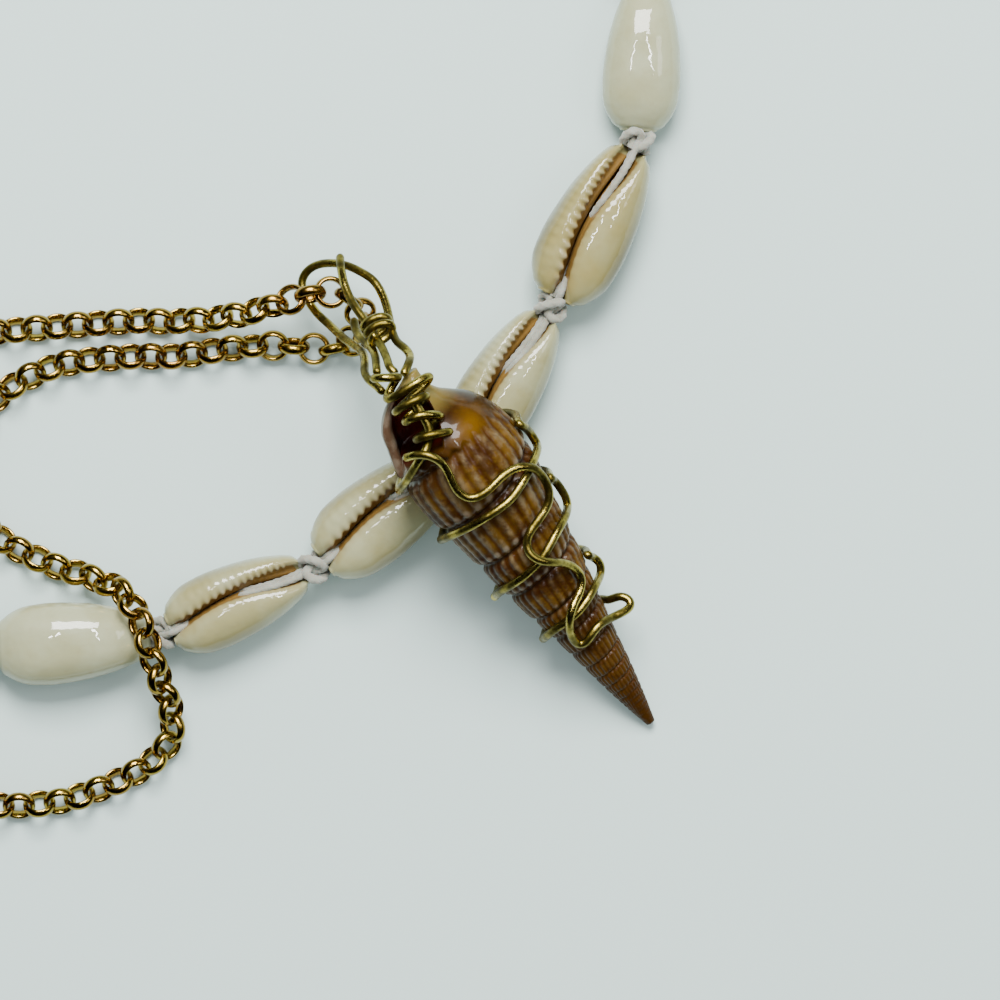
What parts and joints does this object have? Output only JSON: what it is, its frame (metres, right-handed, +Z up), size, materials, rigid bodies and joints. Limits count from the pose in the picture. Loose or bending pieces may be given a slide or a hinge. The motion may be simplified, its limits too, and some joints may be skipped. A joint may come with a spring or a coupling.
{
  "type": "cowrie shell necklace",
  "caption": "Layered necklace laid flat: cowrie shells on a knotted waxed cord, and a gold chain with a wire-wrapped spiral shell pendant, on one clasp.",
  "frame": {"origin": "middle of the neck opening, on the surface that the necklace lies on", "axes": "+Z up from the surface, +Y towards the top of the picture, +X towards its right"},
  "size_m": [0.1806, 0.1888, 0.027],
  "materials": {
    "cowrie": "gloss",
    "cord": "waxed",
    "chain": "polished",
    "clasp": "polished",
    "spiral": "satin",
    "wire": "aged"
  },
  "bodies": {
    "root": {"cowrie_01": "cowrie", "cowrie_02": "cowrie", "cowrie_03": "cowrie", "cowrie_04": "cowrie", "cowrie_05": "cowrie", "cowrie_06": "cowrie", "cowrie_07": "cowrie", "cowrie_08": "cowrie", "cowrie_09": "cowrie", "cowrie_10": "cowrie", "cowrie_11": "cowrie", "cowrie_12": "cowrie", "cowrie_13": "cowrie", "cowrie_14": "cowrie", "cowrie_15": "cowrie", "cowrie_16": "cowrie", "cowrie_17": "cowrie", "cowrie_18": "cowrie", "cowrie_19": "cowrie", "cowrie_20": "cowrie", "cowrie_21": "cowrie", "cord": "cord", "chain_inner": "chain", "chain_outer": "chain", "clasp": "clasp", "spiral_shell": "spiral", "wrap_wire": "wire", "neck_coil": "wire", "bail_loop": "wire", "bail_strand": "wire", "bail_stay": "wire"}
  },
  "joints": []
}
